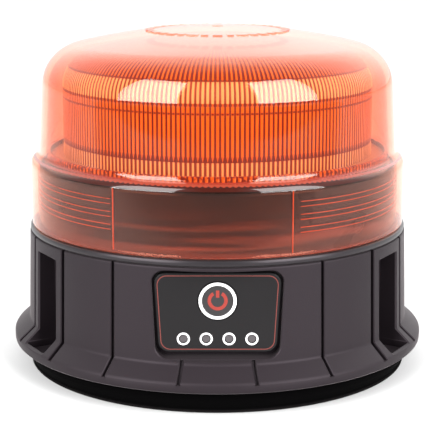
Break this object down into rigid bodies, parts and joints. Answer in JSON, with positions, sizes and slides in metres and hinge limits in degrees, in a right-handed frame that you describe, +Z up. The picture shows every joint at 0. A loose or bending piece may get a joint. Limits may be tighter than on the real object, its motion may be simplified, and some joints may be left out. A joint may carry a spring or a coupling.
{
  "type": "magnetic led warning beacon",
  "caption": "Amber LED warning beacon: a smooth dome over a fluted inner lens, on a dark flared base with a control panel, a charging port under a rubber flap and a magnetic rubber foot.",
  "frame": {"origin": "centre of the rubber foot's flat underside", "axes": "+Z up along the dome's axis, -Y out of the control panel, +Y out of the charging port, +X to the right as the panel is faced"},
  "size_m": [0.16, 0.16, 0.1294],
  "materials": {
    "pad_rubber": "dead matt, almost black, finely textured",
    "shell_plastic": "fine spark-eroded texture, dark charcoal",
    "chassis_plastic": "satin black with a soft shine on its rim",
    "outer_amber": "smooth clear amber polycarbonate",
    "optic_amber": "amber polycarbonate with vertical flutes, lit edges",
    "seal_rubber": "smooth moulded black rubber",
    "plate_steel": "zinc-plated sheet steel",
    "screw_steel": "zinc-plated steel",
    "magnet_ferrite": "dark grey sintered ferrite",
    "tower_aluminium": "clear-anodised",
    "reflector_white": "white satin",
    "board_green": "green solder mask",
    "led_board_white": "white solder mask with yellow emitters",
    "cell_wrap": "blue shrink wrap over a metal can",
    "holder_grey": "moulded dark grey nylon",
    "panel_film": "printed dark film with a dull red border",
    "key_rubber": "dark soft key with a white ring and a red power sign",
    "pipe_clear": "smoke-grey translucent polycarbonate",
    "connector_black": "black nylon",
    "lead_red": "red PVC insulation"
  },
  "bodies": {
    "beacon": {"magnet_pad": "pad_rubber", "ring_magnet": "magnet_ferrite", "backing_plate": "plate_steel", "magnet_screw_1": "screw_steel", "magnet_screw_2": "screw_steel", "magnet_screw_3": "screw_steel", "magnet_screw_4": "screw_steel", "base_shell": "shell_plastic", "body_screw_1": "screw_steel", "body_screw_2": "screw_steel", "body_screw_3": "screw_steel", "body_screw_4": "screw_steel", "chassis": "chassis_plastic", "lens_seal": "seal_rubber", "outer_lens": "outer_amber", "inner_lens": "optic_amber", "reflector_plate": "reflector_white", "heat_sink": "tower_aluminium", "led_board_1": "led_board_white", "led_board_2": "led_board_white", "led_board_3": "led_board_white", "led_board_4": "led_board_white", "led_board_5": "led_board_white", "led_board_6": "led_board_white", "tower_cap": "reflector_white", "tower_screw_1": "screw_steel", "tower_screw_2": "screw_steel", "tower_screw_3": "screw_steel", "main_board": "board_green", "board_screw_1": "screw_steel", "board_screw_2": "screw_steel", "board_screw_3": "screw_steel", "battery_holder": "holder_grey", "battery_cell_1": "cell_wrap", "battery_cell_2": "cell_wrap", "battery_cell_3": "cell_wrap", "battery_cell_4": "cell_wrap", "battery_cover": "holder_grey", "battery_screw_1": "screw_steel", "battery_screw_2": "screw_steel", "control_panel": "panel_film", "panel_gasket": "seal_rubber", "tact_switch": "connector_black", "switch_board": "board_green", "switch_board_screw_1": "screw_steel", "switch_board_screw_2": "screw_steel", "light_pipe_1": "pipe_clear", "light_pipe_2": "pipe_clear", "light_pipe_3": "pipe_clear", "light_pipe_4": "pipe_clear", "charge_jack": "connector_black", "charge_board": "board_green", "cover_anchor": "seal_rubber", "led_lead": "lead_red", "battery_lead": "lead_red", "switch_lead": "lead_red", "charge_lead": "lead_red"},
    "power_key": {"power_button": "key_rubber", "switch_plunger": "connector_black"},
    "charge_port_flap": {"port_cover": "seal_rubber"}
  },
  "joints": [
    {"name": "power_button_press", "type": "slide", "parent": "beacon", "child": "power_key", "axis": [0, 1, 0], "range_m": [0, 0.0008], "stiffness_N_per_m": 1500, "springref_m": -0.0004},
    {"name": "port_cover_hinge", "type": "hinge", "parent": "beacon", "child": "charge_port_flap", "pos_m": [0, 0.0732, 0.0428], "axis": [1, 0, 0], "range_deg": [0, 105]}
  ]
}
